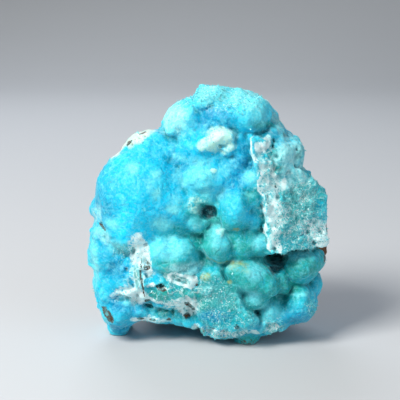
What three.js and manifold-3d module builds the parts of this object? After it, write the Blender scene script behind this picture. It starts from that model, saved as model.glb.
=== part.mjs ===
// Blue hemimorphite on limonite: a cabinet specimen of botryoidal crust on a brown matrix.
// Units are millimetres. +Z is up, -Y is the display face, and the rock stands on Z = 0.
import * as THREE from 'three';
import { mergeVertices } from 'three/addons/utils/BufferGeometryUtils.js';
import { ImprovedNoise } from 'three/addons/math/ImprovedNoise.js';
import Module from 'manifold-3d';

// Driving dimensions
const BODY_DETAIL = 11;        // divisions of the ball that is shrunk onto the body of the crust
const SLAB_DETAIL = 6;         // of the one for the slab
const BOWL_DETAIL = 3;         // of the one for the druse bowl
const MATRIX_DETAIL = 7;       // and of the one for the matrix
const LOBE_FACET = 3.3;        // edge of a facet on a lobe of its own
const LOBE_GROWTH = 0.3;       // lobes are this much larger, because their facets cut inside the curve
const JOINT_GAP = 0.3;         // between the crust and the matrix under it
const CRUST_GRAIN = 5.0;       // spacing of the unevenness of the crust
const CRUST_ROUGH = 0.35;      // and its height
const MATRIX_GRAIN = 4.5;      // the same for the brown rock, which is rougher
const MATRIX_ROUGH = 1.2;
const MATRIX_WAVE_GRAIN = 11;  // with broader swells under it
const MATRIX_WAVE = 1.6;
const CRUST_EDGE_Y = 8;        // behind the display face the crust is broken off about here
const CRUST_EDGE_WAVE = 3;     // more or less by this
const CRUST_EDGE_GRAIN = 9;    // in waves of this length
const CRUST_EDGE_BLEND = 1;    // with an edge rounded by this
const BLOCK = 160;             // edge of the block that cuts the rock flat where it stands
const STEP = 0.4;              // shrinking: step along a ray
const HALVINGS = 10;           // and how often the last step is halved

// The body of the crust, the big smooth dome on the left and the top mass with its crease grew into
// each other: `blend` is the width of the fillet where a mass meets the ones before it.
const masses = [
  { at: [0, 2, 21.5], size: [26, 15.5, 19], blend: 6 },
  { at: [15, 0.5, 14], size: [10.5, 11, 10.5], blend: 4 },
  { at: [3, 3, 42], size: [19.5, 13, 20.5], blend: 6 },
  { at: [-17, -5, 38.4], size: [12.2, 12, 12.2], blend: 3 },
  { at: [-21, -5, 30], size: [8.5, 9.5, 7.7], blend: 3 },
  { at: [-9, -7, 36], size: [7.2, 9.5, 9], blend: 3 },
  { at: [-15.2, -2, 45.2], size: [7.9, 9, 6.7], blend: 2 },
  { at: [-14.4, -1, 49.2], size: [7.8, 8, 5], blend: 2 },
  { at: [-5.2, 0, 55.6], size: [5.2, 8.5, 5.2], blend: 1.5 },
  { at: [1.2, -1, 58.7], size: [6.6, 9.5, 6.4], blend: 1.5 },
  { at: [-1, 2, 63.3], size: [2, 4, 2.2], blend: 1 },
  { at: [8, -2, 57.8], size: [6.9, 9.5, 6.8], blend: 2 },
  { at: [14.2, 0, 55.4], size: [4.9, 8, 6.2], blend: 1.2 },
  { at: [18.6, 1, 47.6], size: [5.2, 8, 6.2], blend: 1.5 },
  { at: [0, -5, 49.5], size: [9, 8, 8], blend: 4 },
  // what lies behind the lobes of the middle and the lower right
  { at: [5.5, -5.5, 37], size: [12.5, 9.2, 13.5], blend: 4 },
  { at: [8.5, -5, 16], size: [7.5, 8.8, 9.5], blend: 4 },
];
const bodyBall = { heart: [0, 1, 34], reach: [48, 34, 52], detail: BODY_DETAIL };

// Lobes that stand out on their own
const lobes = [
  // the lumps of the top mass
  { at: [17.8, -6.6, 49.4], size: [3.2, 6, 3.6] },
  { at: [20.8, -4.4, 48.6], size: [2.9, 5.6, 3.8] },
  // the middle
  { at: [-1.5, -10.5, 43], size: [4.5, 5.3, 3.7] },
  { at: [4, -9.2, 43.8], size: [3.3, 4.4, 2.9] },
  { at: [10.2, -10.6, 43], size: [2.6, 5, 2.6] },
  { at: [10.4, -10.3, 38.5], size: [2.7, 5, 4.3] },
  { at: [-4.5, -10.4, 36.6], size: [2.9, 5, 3.6] },
  // the flat double lobe under the dome
  { at: [-11.6, -12, 25.8], size: [3.8, 5, 3.2] },
  { at: [-6.8, -12, 25.6], size: [3.6, 5.2, 3.2] },
  { at: [-9.3, -11.5, 23], size: [6, 5.5, 3.6] },
  // the knob and the column at the left edge
  { at: [-28, -2, 33.6], size: [2.7, 5, 3.2] },
  { at: [-27.8, -3.4, 28], size: [2.3, 5, 2.7] },
  { at: [-26.2, -5, 23], size: [4.4, 7.5, 6] },
  { at: [-25.4, -4, 14.5], size: [4.4, 8, 7] },
  { at: [-21.5, -6, 18], size: [4.4, 7.5, 8.5] },
  // the broken ground beside it, and the lobes below
  { at: [-17.2, -9, 20], size: [3.4, 6.4, 9] },
  { at: [-8.5, -9.5, 16.5], size: [8.6, 7.5, 7.4] },
  { at: [-22.8, -5.5, 8.4], size: [4.9, 7.5, 5] },
  { at: [-17.4, -5, 8.2], size: [3.8, 6.4, 3.2] },
  { at: [-12, -4.4, 7.8], size: [4.2, 6.6, 3] },
  { at: [-6.2, -5.2, 7.6], size: [4.2, 6.6, 3.2] },
  { at: [19.4, -7.4, 8.6], size: [3.4, 6.6, 3.8] },
  // what it stands on in front
  { at: [-24, 0, 2.6], size: [3, 6, 4.2] },
  { at: [3.6, -9, 4.2], size: [4, 5, 2.4] },
  { at: [9.7, -8.5, 1.8], size: [2.9, 4, 2.9] },
  // the crowded lobes of the middle and of the lower right
  { at: [6.1, -12.2, 36], size: [3.7, 5.8, 6.1] },
  { at: [2.5, -12.4, 27], size: [3.9, 5.8, 4.8] },
  { at: [8.2, -11.3, 26.9], size: [4.5, 5.4, 4.3] },
  { at: [12.5, -11.4, 27.1], size: [2.6, 5, 3.5] },
  { at: [10.4, -12.6, 18.8], size: [7.2, 6.2, 4.2], turn: [0, 30, 0] },
  { at: [14.6, -13.2, 16.6], size: [2.5, 5.2, 2.8] },
  { at: [12, -11.8, 13.8], size: [3.1, 5.4, 3.4] },
  { at: [18.4, -7, 16.6], size: [2.8, 6.2, 3.6] },
  { at: [24, -4.6, 20.8], size: [6, 8.8, 4.2] },
  { at: [23.3, -5.4, 18.6], size: [3.4, 7.4, 3.4] },
  { at: [26.4, -2.6, 13.6], size: [2.4, 5.6, 2.9] },
  { at: [22.6, -6.5, 10], size: [4.5, 8.6, 4.8], turn: [0, -10, 0] },
  { at: [23.6, -6.2, 12.8], size: [2.8, 7.2, 2.8] },
  { at: [15.8, -9.4, 8.8], size: [3.6, 6.2, 4] },
  { at: [17.4, -8.8, 6.2], size: [3.3, 5.2, 2.6] },
  // the pale chip
  { at: [3.3, -11.4, 52.7], size: [2.6, 2.8, 2.3] },
  { at: [0.1, -11.2, 51.5], size: [3, 2.8, 1.7], turn: [0, -8, 0] },
];

// The druse bowl: a form broken flat in front, along a ridge on its right, and below
const bowl = { at: [4.2, -10.4, 12.8], size: [11.6, 10.6, 8.6], turn: [0, 50, 0] };
const bowlFaces = [
  { at: [3.5, -17.1, 14], normal: [-0.14, -0.98, -0.04] },
  { at: [8.3, -16, 13.6], normal: [0.8, -0.12, 0.57] },
  { at: [3, -15, 4], normal: [0.05, -0.3, -1] },
];
const bowlBall = { heart: [3, -9, 12], reach: [14, 14, 15], detail: BOWL_DETAIL };

// The slab on the right: thick crust broken across, so it has flat sides and a lip below. Its left
// part stands higher than its right one.
const slabBody = [
  { at: [12, -18, 36], normal: [0.45, -0.88, 0.15] },
  { at: [12.3, -17.1, 41.5], normal: [-0.78, -0.62, -0.11] },
  { at: [9.7, -14, 51.3], normal: [-0.987, 0, -0.155] },
  { at: [18, -14, 25.3], normal: [0.05, -0.1, -1] },
  { at: [20, 3, 36], normal: [0, 1, 0] },
];
const slabTopLeft = [
  ...slabBody,
  { at: [12, -14, 54.4], normal: [0.1, -0.1, 1] },
  { at: [16.4, -13, 50.6], normal: [0.9, 0, 0.44] },
];
const slabRight = [
  ...slabBody,
  { at: [19, -12, 47.3], normal: [0.3, 0, 0.95] },
  { at: [26.2, -8, 42.9], normal: [0.72, 0, 0.69] },
  { at: [29, -5, 34], normal: [1, 0.3, -0.03] },
];
const FACE_BLEND = 0.6;
const slabBall = { heart: [17.5, -6, 36], reach: [24, 20, 27], detail: SLAB_DETAIL };

// Holes: the dark gap under the slab, the teal pit, and the small ones of the broken ground
const holes = [
  { at: [16.7, -10.5, 22.4], size: [3.1, 7, 1.6] },
  { at: [-0.3, -14.8, 35.8], size: [2.5, 2.6, 2.1] },
  { at: [-7.4, -17.2, 19.1], size: [1.6, 1.2, 0.8] },
  { at: [-12.2, -16.5, 17.7], size: [1.2, 1.6, 0.7] },
  { at: [-4.4, -17, 12.9], size: [0.7, 1.8, 2], turn: [0, -42, 0] },
];

// The matrix: a rounded block behind the crust that shows at the right edge, broken flat behind
const rocks = [
  { at: [1, 8, 29], size: [26, 15, 28], blend: 4 },
  { at: [24.8, 2, 24.6], size: [6.8, 7, 7.4], blend: 2 },
  { at: [2, 13, 8], size: [22, 8, 12], blend: 4 },
];
const rockFaces = [
  { at: [4, 15.9, 24], normal: [0.12, 1, 0.1] },
  { at: [-15, 16.5, 26], normal: [-0.6, 0.78, 0.16] },
  { at: [4, 15, 48], normal: [0.1, 0.75, 0.6] },
  { at: [21, 15, 34], normal: [0.82, 0.55, -0.12] },
  { at: [16, 16, 8], normal: [0.45, 0.75, -0.45] },
  { at: [-18, 13, 7], normal: [-0.6, 0.5, -0.6] },
];
const ROCK_BLEND = 0.6;
const matrixBall = { heart: [0, 8, 28], reach: [48, 34, 52], detail: MATRIX_DETAIL };

const SAME_PLACE = 1e-4; // mm between points that are one and the same
const NEARLY_FLAT = 1e-6; // keeps a division at an ellipsoid's centre possible

const wasm = await Module();
wasm.setup();

const unevenness = new ImprovedNoise();
const noiseAt = (p, grain) => unevenness.noise(p.x / grain, p.y / grain, p.z / grain);
const turnOf = (degrees = [0, 0, 0]) => new THREE.Euler(...degrees.map(THREE.MathUtils.degToRad));

// Distance from a point to an ellipsoid, close enough near its surface and negative inside it
function toEllipsoid(point, { at, size, turn }) {
  const offset = new THREE.Vector3(...at).sub(point).negate();
  const half = new THREE.Vector3(...size);
  if (turn) offset.applyQuaternion(new THREE.Quaternion().setFromEuler(turnOf(turn)).invert());
  const scaled = offset.divide(half).length();
  const steepness = offset.divide(half).length();
  return scaled * (scaled - 1) / Math.max(steepness, NEARLY_FLAT);
}

function toFace(point, { at, normal }) {
  const [x, y, z] = normal;
  return (x * (point.x - at[0]) + y * (point.y - at[1]) + z * (point.z - at[2])) / Math.hypot(x, y, z);
}

// The smaller of two distances with a fillet of the given width, and the larger with a rounded edge
function joined(a, b, blend) {
  const overlap = Math.max(blend - Math.abs(a - b), 0) / blend;
  return Math.min(a, b) - overlap ** 2 * blend / 4;
}
const shared = (a, b, blend) => -joined(-a, -b, blend);

const FAR = 99;
const toAll = (point, ellipsoids) => ellipsoids.reduce(
  (nearest, spot) => joined(nearest, toEllipsoid(point, spot), spot.blend), FAR);
const withinFaces = (point, faces, blend, distance = -FAR) => faces.reduce(
  (furthest, face) => shared(furthest, toFace(point, face), blend), distance);

const skinAt = (point) => CRUST_ROUGH * noiseAt(point, CRUST_GRAIN);

function toBody(point) {
  const brokenEdge = point.y - CRUST_EDGE_Y - CRUST_EDGE_WAVE * noiseAt(point, CRUST_EDGE_GRAIN);
  return shared(toAll(point, masses), brokenEdge, CRUST_EDGE_BLEND) - skinAt(point);
}

const toBowl = (point) => withinFaces(point, bowlFaces, FACE_BLEND, toEllipsoid(point, bowl)) - skinAt(point);

const toSlab = (point) => Math.min(
  withinFaces(point, slabTopLeft, FACE_BLEND), withinFaces(point, slabRight, FACE_BLEND)) - skinAt(point);

const toMatrix = (point) => withinFaces(point, rockFaces, ROCK_BLEND, toAll(point, rocks))
  - MATRIX_ROUGH * noiseAt(point, MATRIX_GRAIN) - MATRIX_WAVE * noiseAt(point, MATRIX_WAVE_GRAIN);

const bare = (geometry) => {
  geometry.deleteAttribute('normal');
  geometry.deleteAttribute('uv');
  return mergeVertices(geometry, SAME_PLACE);
};

function toSolid(geometry) {
  const merged = bare(geometry);
  return new wasm.Manifold(new wasm.Mesh({
    numProp: 3,
    vertProperties: new Float32Array(merged.attributes.position.array),
    triVerts: new Uint32Array(merged.index.array),
  }));
}

// A ball shrunk from its reach towards its heart until each of its points meets the surface
function shrunkOnto(distanceTo, { heart, reach, detail }) {
  const geometry = bare(new THREE.IcosahedronGeometry(1, detail));
  const { position } = geometry.attributes;
  const centre = new THREE.Vector3(...heart);
  const point = new THREE.Vector3();
  for (let i = 0; i < position.count; i += 1) {
    const ray = new THREE.Vector3().fromBufferAttribute(position, i).multiply(new THREE.Vector3(...reach));
    const along = (share) => point.copy(centre).addScaledVector(ray, share);
    let step = STEP / ray.length();
    let share = 1;
    while (share > 0 && distanceTo(along(share)) > 0) share -= step;
    for (let n = 0; n < HALVINGS; n += 1) {
      step /= 2;
      share += distanceTo(along(share)) > 0 ? -step : step;
    }
    position.setXYZ(i, ...along(share));
  }
  return toSolid(geometry);
}

// A lobe of its own: an ellipsoid with an uneven skin, in facets of LOBE_FACET
function lobe({ at, size, turn }) {
  const area = 4 * Math.PI * Math.cbrt(size[0] * size[1] * size[2]) ** 2;
  const facetArea = LOBE_FACET ** 2 * Math.sqrt(3) / 4;
  const detail = Math.max(1, Math.round(Math.sqrt(area / facetArea / 20)) - 1);
  const geometry = new THREE.IcosahedronGeometry(1, detail);
  const { position } = geometry.attributes;
  const point = new THREE.Vector3();
  const outward = new THREE.Vector3();
  const half = new THREE.Vector3(...size).addScalar(LOBE_GROWTH);
  for (let i = 0; i < position.count; i += 1) {
    point.fromBufferAttribute(position, i);
    outward.copy(point).divide(half).applyEuler(turnOf(turn)).normalize();
    point.multiply(half).applyEuler(turnOf(turn)).add(new THREE.Vector3(...at));
    point.addScaledVector(outward, CRUST_ROUGH * noiseAt(point, CRUST_GRAIN));
    position.setXYZ(i, ...point);
  }
  return toSolid(geometry);
}

function underGround() {
  const block = new THREE.BoxGeometry(BLOCK, BLOCK, BLOCK);
  block.translate(0, 0, -BLOCK / 2);
  return toSolid(block);
}

const ground = underGround();
const matrix = shrunkOnto(toMatrix, matrixBall).subtract(ground);
const matrixSeat = shrunkOnto((point) => toMatrix(point) - JOINT_GAP, matrixBall);

const grown = [shrunkOnto(toSlab, slabBall), shrunkOnto(toBowl, bowlBall), ...lobes.map(lobe)];
const grownTogether = grown.reduce((whole, solid) => whole.add(solid), shrunkOnto(toBody, bodyBall));
const crust = [...holes.map(lobe), matrixSeat, ground].reduce((rest, cut) => rest.subtract(cut), grownTogether);

function toMesh(solid, name, material) {
  const { vertProperties, triVerts } = solid.getMesh();
  const geometry = new THREE.BufferGeometry();
  geometry.setAttribute('position', new THREE.BufferAttribute(new Float32Array(vertProperties), 3));
  geometry.setIndex(new THREE.BufferAttribute(new Uint32Array(triVerts), 1));
  geometry.computeVertexNormals();
  const mesh = new THREE.Mesh(geometry, material);
  mesh.name = name;
  return mesh;
}

const blueCrust = new THREE.MeshStandardMaterial({ color: '#4fc9e4', roughness: 0.4, metalness: 0 });
const brownRock = new THREE.MeshStandardMaterial({ color: '#6b4a2c', roughness: 0.9, metalness: 0 });

const specimen = new THREE.Group();
specimen.add(toMesh(crust, 'hemimorphite_crust', blueCrust));
specimen.add(toMesh(matrix, 'limonite_matrix', brownRock));

export default specimen;
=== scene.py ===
import math

import bpy
import numpy as np
import openvdb
from mathutils import Euler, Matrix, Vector


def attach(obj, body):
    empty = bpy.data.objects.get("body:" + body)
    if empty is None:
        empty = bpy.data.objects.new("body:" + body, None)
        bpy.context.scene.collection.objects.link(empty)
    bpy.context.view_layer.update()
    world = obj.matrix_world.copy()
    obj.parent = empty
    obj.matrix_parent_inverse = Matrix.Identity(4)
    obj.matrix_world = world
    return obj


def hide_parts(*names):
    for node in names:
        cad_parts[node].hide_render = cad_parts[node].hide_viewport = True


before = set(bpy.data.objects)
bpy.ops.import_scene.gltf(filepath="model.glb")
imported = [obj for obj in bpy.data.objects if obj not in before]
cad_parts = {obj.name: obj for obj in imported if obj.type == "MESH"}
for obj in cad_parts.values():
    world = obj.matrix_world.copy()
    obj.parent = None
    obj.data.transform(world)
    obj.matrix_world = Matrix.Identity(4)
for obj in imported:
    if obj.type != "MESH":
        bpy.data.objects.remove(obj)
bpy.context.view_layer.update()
MM = 0.001


# ------------------------------------------------------------------------------------------------
# The display: a pale matt sheet that sweeps up behind the stone, a wide soft light from the upper
# left, a weak one from the right, and a camera that looks a little down on the stone.

def linear(hex_colour):
    """An sRGB hex colour as linear values, with full opacity."""
    parts = [int(hex_colour[i:i + 2], 16) / 255 for i in (1, 3, 5)]
    return [c / 12.92 if c <= 0.04045 else ((c + 0.055) / 1.055) ** 2.4 for c in parts] + [1.0]


def add(tree, kind, inputs=None, **settings):
    """One node in a tree, with its settings and with a value or a socket for each named input."""
    made = tree.nodes.new(kind)
    for key, value in settings.items():
        setattr(made, key, value)
    for key, value in (inputs or {}).items():
        if isinstance(value, bpy.types.NodeSocket):
            tree.links.new(value, made.inputs[key])
        else:
            made.inputs[key].default_value = value
    return made


def new_material(name):
    """An empty material and its node tree."""
    material = bpy.data.materials.new(name)
    material.use_nodes = True
    material.node_tree.nodes.clear()
    return material, material.node_tree


AIM_MM = (-2.5, 0.0, 35.5)      # what the camera and the lights point at
DISTANCE_MM = 288.9             # from the camera to it
LIFT_DEG = 13                   # how much the camera looks down
LENS_MM = 100
ROOM_COLOUR = "#DDE3E8"
ROOM_LIGHT = 0.28

SHEET_HALF_MM = 900
SHEET_FRONT_MM = -700
SHEET_BACK_MM = 500             # where it begins to sweep up
SWEEP_RADIUS_MM = 350
SWEEP_STEPS = 12
SHEET_HEIGHT_MM = 900
SHEET_COLOUR = "#B9BDC2"


def light(name, size_mm, place_mm, power, colour):
    """A square soft light that points at the stone."""
    lamp = bpy.data.lights.new(name, "AREA")
    lamp.size = size_mm * MM
    lamp.energy = power
    lamp.color = linear(colour)[:3]
    lamp_object = bpy.data.objects.new(name, lamp)
    lamp_object.location = Vector(place_mm) * MM
    towards = Vector(AIM_MM) * MM - lamp_object.location
    lamp_object.rotation_euler = towards.to_track_quat("-Z", "Y").to_euler()
    bpy.context.collection.objects.link(lamp_object)


light("soft_key", 260, (-320, -285, 450), 5.3, "#FFFAF2")
light("weak_fill", 500, (480, -380, 240), 0.95, "#E9F1FF")
light("back_rim", 300, (-120, 420, 420), 1.4, "#F4F8FF")

world = bpy.data.worlds.new("room")
world.use_nodes = True
world.node_tree.nodes["Background"].inputs["Color"].default_value = linear(ROOM_COLOUR)
world.node_tree.nodes["Background"].inputs["Strength"].default_value = ROOM_LIGHT
bpy.context.scene.world = world
bpy.context.scene.view_settings.view_transform = "Standard"

camera = bpy.data.objects.new("camera", bpy.data.cameras.new("camera"))
camera.data.lens = LENS_MM
lift = math.radians(LIFT_DEG)
camera.location = (Vector(AIM_MM) + DISTANCE_MM * Vector((0, -math.cos(lift), math.sin(lift)))) * MM
camera.rotation_euler = (math.radians(90) - lift, 0, 0)
bpy.context.collection.objects.link(camera)
bpy.context.scene.camera = camera


def sheet_profile():
    """The sheet's side view: flat, then a quarter round, then upright."""
    yield SHEET_FRONT_MM, 0.0
    for step in range(SWEEP_STEPS + 1):
        angle = math.radians(90) * step / SWEEP_STEPS
        yield SHEET_BACK_MM + SWEEP_RADIUS_MM * math.sin(angle), SWEEP_RADIUS_MM * (1 - math.cos(angle))
    yield SHEET_BACK_MM + SWEEP_RADIUS_MM, SHEET_HEIGHT_MM


profile = list(sheet_profile())
corners = [(side * SHEET_HALF_MM * MM, y * MM, z * MM) for y, z in profile for side in (-1, 1)]
strips = [(2 * i, 2 * i + 1, 2 * i + 3, 2 * i + 2) for i in range(len(profile) - 1)]
sheet_mesh = bpy.data.meshes.new("display_sheet")
sheet_mesh.from_pydata(corners, [], strips)
sheet_mesh.polygons.foreach_set("use_smooth", [True] * len(strips))

# Paper: pale grey and matt, so that it shows soft shadows and no highlight.
paper, tree = new_material("matt_paper")
shader = add(tree, "ShaderNodeBsdfPrincipled", {"Base Color": linear(SHEET_COLOUR), "Roughness": 0.9})
add(tree, "ShaderNodeOutputMaterial", {"Surface": shader.outputs[0]})
sheet_mesh.materials.append(paper)
sheet = bpy.data.objects.new("display_sheet", sheet_mesh)
bpy.context.collection.objects.link(sheet)


# ------------------------------------------------------------------------------------------------
# The rock that carries the crust: limonite, a brown iron ore, earthy and full of small holes. It
# was broken from the wall of a cavity, so its back is rough.

# Stone is worked out as distances in mm on a fine grid: negative inside it, nought on its skin.
FINE = 0.36                     # mm between the points of the grid
GRID_FIRST = (-92, -66, -4)     # its first point, counted in steps of FINE
GRID_COUNT = (184, 132, 196)
FAR = 99.0
FLAT_MERGE = 0.05               # how readily faces that lie flat are joined into one
SOLID_STEPS = 8                 # steps of the grid round a solid's skin that know their distance
STREWN_SPAN = 0.15, 0.85        # the part of its cell in which a strewn place may lie
BALL_MARGIN = 1                 # mm of the grid round a small ball that it may change
WAVE_GAIN = 2.6                 # brings averaged random values back to about -1 to 1

ROCK_ROUNDING = 0.7             # mm over which the solid's facets are smoothed away
ROCK_GROWTH = 0.25              # mm that it grows, to meet the crust
ROCK_WAVES = [(5.5, 1.1), (2.6, 0.7), (1.3, 0.4)]      # mm between its ridges, and their height
ROCK_MIDDLE = 0.4               # a wave's usual value, which leaves the skin where it was
VUG_SPACING = 3.0
VUG_RADIUS = 0.5, 1.5
VUG_BENDS = 1.2, 0.45           # mm between the bends in the wall of a hole, and their size
VUG_DEPTH = 0.6                 # how far from the skin its middle may lie, in parts of its radius
VUG_FILLET = 0.3
OCHRE_REACH = 0.8               # mm of rock round a hole that takes the colour of its dust
SUNK_REACH = 1.1                # mm round a place that tell whether it lies deep or on an edge

axes = [(first + np.arange(count, dtype=np.float32)) * FINE for first, count in zip(GRID_FIRST, GRID_COUNT)]
grid_points = np.stack(np.meshgrid(*axes, indexing="ij"), axis=-1)


def solid_of(node):
    """Distances in mm on the grid to a node of the frame."""
    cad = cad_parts[node].data
    corners = np.empty(len(cad.vertices) * 3, np.float32)
    cad.vertices.foreach_get("co", corners)
    cad.calc_loop_triangles()
    faces = np.empty(len(cad.loop_triangles) * 3, np.int32)
    cad.loop_triangles.foreach_get("vertices", faces)
    level = openvdb.FloatGrid.createLevelSetFromPolygons(
        corners.reshape(-1, 3) / MM, triangles=faces.reshape(-1, 3).astype(np.uint32),
        transform=openvdb.createLinearTransform(voxelSize=FINE), halfWidth=SOLID_STEPS)
    distance = np.empty(GRID_COUNT, np.float32)
    level.copyToArray(distance, ijk=GRID_FIRST)
    return distance


def averaged(field, reach):
    """The field averaged over a cube that reaches so many mm to each side."""
    steps = round(reach / FINE)
    for axis in range(3):
        pad = [(steps + 1, steps) if side == axis else (0, 0) for side in range(3)]
        summed = np.cumsum(np.pad(field, pad, mode="edge"), axis=axis, dtype=np.float64)
        count = field.shape[axis]
        ahead = np.take(summed, np.arange(2 * steps + 1, 2 * steps + 1 + count), axis=axis)
        behind = np.take(summed, np.arange(count), axis=axis)
        field = ((ahead - behind) / (2 * steps + 1)).astype(np.float32)
    return field


def waves(spacing, seed):
    """Smooth random values on the grid, about -1 to 1, with bumps so many mm apart."""
    blends = []
    for axis in axes:
        place = (axis - axis[0]) / spacing
        away = np.abs(place[:, None] - np.arange(-1, int(place[-1]) + 3))
        near_knot = 2 / 3 - away ** 2 + away ** 3 / 2
        blends.append(np.where(away < 1, near_knot, np.clip(2 - away, 0, None) ** 3 / 6).astype(np.float32))
    knots = np.random.default_rng(seed).uniform(-1, 1, [blend.shape[1] for blend in blends])
    return WAVE_GAIN * np.einsum("xa,yb,zc,abc->xyz", *blends, knots.astype(np.float32), optimize=True)


def sampled(field, points):
    """A grid field's values at points in mm, read between the points of the grid."""
    place = points / FINE - np.array(GRID_FIRST)
    low = np.clip(np.floor(place).astype(int), 0, np.array(GRID_COUNT) - 2)
    part = (place - low).astype(np.float32)
    total = 0
    for corner in np.ndindex(2, 2, 2):
        share = np.prod(np.where(corner, part, 1 - part), axis=-1)
        total = total + share * field[tuple((low + corner).T)]
    return total


def from_lobe(points, at, size, lean=0):
    """Distance in mm to an ellipsoid, turned in the display plane so that its right end sinks."""
    offset = points - np.array(at, np.float32)
    if lean:
        offset = offset @ np.array(Euler((0, math.radians(lean), 0)).to_matrix(), np.float32)
    half = np.array(size, np.float32)
    scaled = np.linalg.norm(offset / half, axis=-1)
    steepness = np.linalg.norm(offset / half ** 2, axis=-1)
    return scaled * (scaled - 1) / np.maximum(steepness, 1e-6)


def joined(a, b, fillet):
    """The nearer of two distances, rounded where they meet."""
    overlap = np.maximum(fillet - np.abs(a - b), 0) / fillet
    return np.minimum(a, b) - overlap ** 2 * fillet / 4


def shared(a, b, fillet):
    """The farther of two distances, rounded where they meet: what two forms have in common."""
    return -joined(-a, -b, fillet)


def near(at, reach):
    """The block of the grid within so many mm of a place."""
    spans = []
    for centre, first, count in zip(at, GRID_FIRST, GRID_COUNT):
        begin = math.floor((centre - reach) / FINE) - first
        end = math.ceil((centre + reach) / FINE) - first
        spans.append(slice(max(begin, 0), min(max(end, 0), count)))
    return tuple(spans)


def strewn(spacing, seed):
    """Places in mm all over the grid, one at random in each cell, and a random number for each."""
    draw = np.random.default_rng(seed)
    cells = [np.arange(axis[0], axis[-1] - spacing, spacing) for axis in axes]
    places = np.stack(np.meshgrid(*cells, indexing="ij"), axis=-1).reshape(-1, 3)
    return places + spacing * draw.uniform(*STREWN_SPAN, places.shape), draw.uniform(0, 1, len(places))


def skin_of(distance, name):
    """The mesh where the distance is nought, in metres and facing out, and its corners in mm."""
    grid = openvdb.FloatGrid(FAR)
    grid.copyFromArray(distance)
    corners, threes, fours = grid.convertToPolygons(adaptivity=FLAT_MERGE)
    corners = (corners + np.array(GRID_FIRST)) * FINE
    faces = threes.tolist() + fours.tolist()
    mesh = bpy.data.meshes.new(name)
    mesh.from_pydata(corners * MM, [], faces)
    mesh.polygons.foreach_set("use_smooth", [True] * len(faces))
    return mesh, corners


def keep(mesh, name, values):
    """Stores a value for each corner of a mesh, for its material to read."""
    stored = mesh.attributes.new(name, "FLOAT", "POINT")
    stored.data.foreach_set("value", np.asarray(values, np.float32))


matrix_solid = solid_of("limonite_matrix")
matrix = averaged(matrix_solid, ROCK_ROUNDING) - ROCK_GROWTH
for number, (spacing, height) in enumerate(ROCK_WAVES):
    matrix += height * (np.abs(waves(spacing, seed=10 + number)) - ROCK_MIDDLE)
vug_places, vug_draws = strewn(VUG_SPACING, seed=20)
vug_bends = [VUG_BENDS[1] * waves(VUG_BENDS[0], seed=15 + axis) for axis in range(3)]
vug_points = grid_points + np.stack(vug_bends, axis=-1)
vugs = np.full(GRID_COUNT, FAR, np.float32)
for place, draw, away in zip(vug_places, vug_draws, np.abs(sampled(matrix, vug_places))):
    radius = VUG_RADIUS[0] + (VUG_RADIUS[1] - VUG_RADIUS[0]) * draw ** 2
    if away < VUG_DEPTH * radius:
        block = near(place, radius + BALL_MARGIN)
        vugs[block] = np.minimum(vugs[block], np.linalg.norm(vug_points[block] - place, axis=-1) - radius)
matrix = np.maximum(shared(matrix, -vugs, VUG_FILLET), -grid_points[..., 2])

matrix_mesh, matrix_corners = skin_of(matrix, "brown_matrix")
keep(matrix_mesh, "vug", np.clip(1 - sampled(vugs, matrix_corners) / OCHRE_REACH, 0, 1))
keep(matrix_mesh, "sunk", sampled(averaged((matrix < 0).astype(np.float32), SUNK_REACH), matrix_corners))
matrix_piece = bpy.data.objects.new("brown_matrix", matrix_mesh)
bpy.context.collection.objects.link(matrix_piece)

# Limonite, as broken: dull and earthy, dark brown to rust, with yellow ochre dust in patches and in
# its holes, and worn paler along its edges; its hollows are painted darker as shade.
BLOTCH_MM = 7                   # across a blotch of one tone
GRIT_MM = 0.9                   # and across a grain
EARTH_TONES = [(0.36, "#2B1D13"), (0.47, "#523420"), (0.57, "#7A4A25"), (0.68, "#A67B45")]
OCHRE = "#B08347"
WORN = "#8F6638"
# Painted shade, laid where the rock lies sunk.
PAINTED_SHADE_BROWN = "#24170F"
limonite, tree = new_material("broken_limonite")
coords = add(tree, "ShaderNodeTexCoord").outputs["Object"]
blotches = add(tree, "ShaderNodeTexNoise", {"Vector": coords, "Scale": 1 / (BLOTCH_MM * MM), "Detail": 8,
                                            "Roughness": 0.7})
grit = add(tree, "ShaderNodeTexNoise", {"Vector": coords, "Scale": 1 / (GRIT_MM * MM), "Detail": 5,
                                        "Roughness": 0.75})
tones = add(tree, "ShaderNodeValToRGB", {"Fac": blotches.outputs["Fac"]})
steps = tones.color_ramp.elements
for tone in EARTH_TONES[1:-1]:
    steps.new(tone[0])
for step, (position, tint) in zip(steps, EARTH_TONES):
    step.position = position
    step.color = linear(tint)
vug = add(tree, "ShaderNodeAttribute", attribute_name="vug")
dusted = add(tree, "ShaderNodeMath", {0: grit.outputs["Fac"], 1: vug.outputs["Fac"]}, operation="MULTIPLY")
ochre = add(tree, "ShaderNodeMix", {"Factor": dusted.outputs[0], "A": tones.outputs[0], "B": linear(OCHRE)},
            data_type="RGBA")
sunk = add(tree, "ShaderNodeAttribute", attribute_name="sunk")
worn = add(tree, "ShaderNodeMapRange", {"Value": sunk.outputs["Fac"], "From Min": 0.48, "From Max": 0.3,
                                        "To Min": 0.0, "To Max": 0.5})
edges = add(tree, "ShaderNodeMix", {"Factor": worn.outputs[0], "A": ochre.outputs["Result"],
                                    "B": linear(WORN)}, data_type="RGBA")
# Painted shade: the rock is darkened where it lies sunk, in its hollows and crevices.
shadow = add(tree, "ShaderNodeMapRange", {"Value": sunk.outputs["Fac"], "From Min": 0.55, "From Max": 0.75,
                                          "To Min": 0.0, "To Max": 0.6})
earth = add(tree, "ShaderNodeMix", {"Factor": shadow.outputs[0], "A": edges.outputs["Result"],
                                    "B": linear(PAINTED_SHADE_BROWN)}, data_type="RGBA")
bump = add(tree, "ShaderNodeBump", {"Height": grit.outputs["Fac"], "Strength": 0.7, "Distance": 0.4 * MM})
shader = add(tree, "ShaderNodeBsdfPrincipled", {"Base Color": earth.outputs["Result"], "Roughness": 0.85,
                                                "Normal": bump.outputs[0]})
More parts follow.
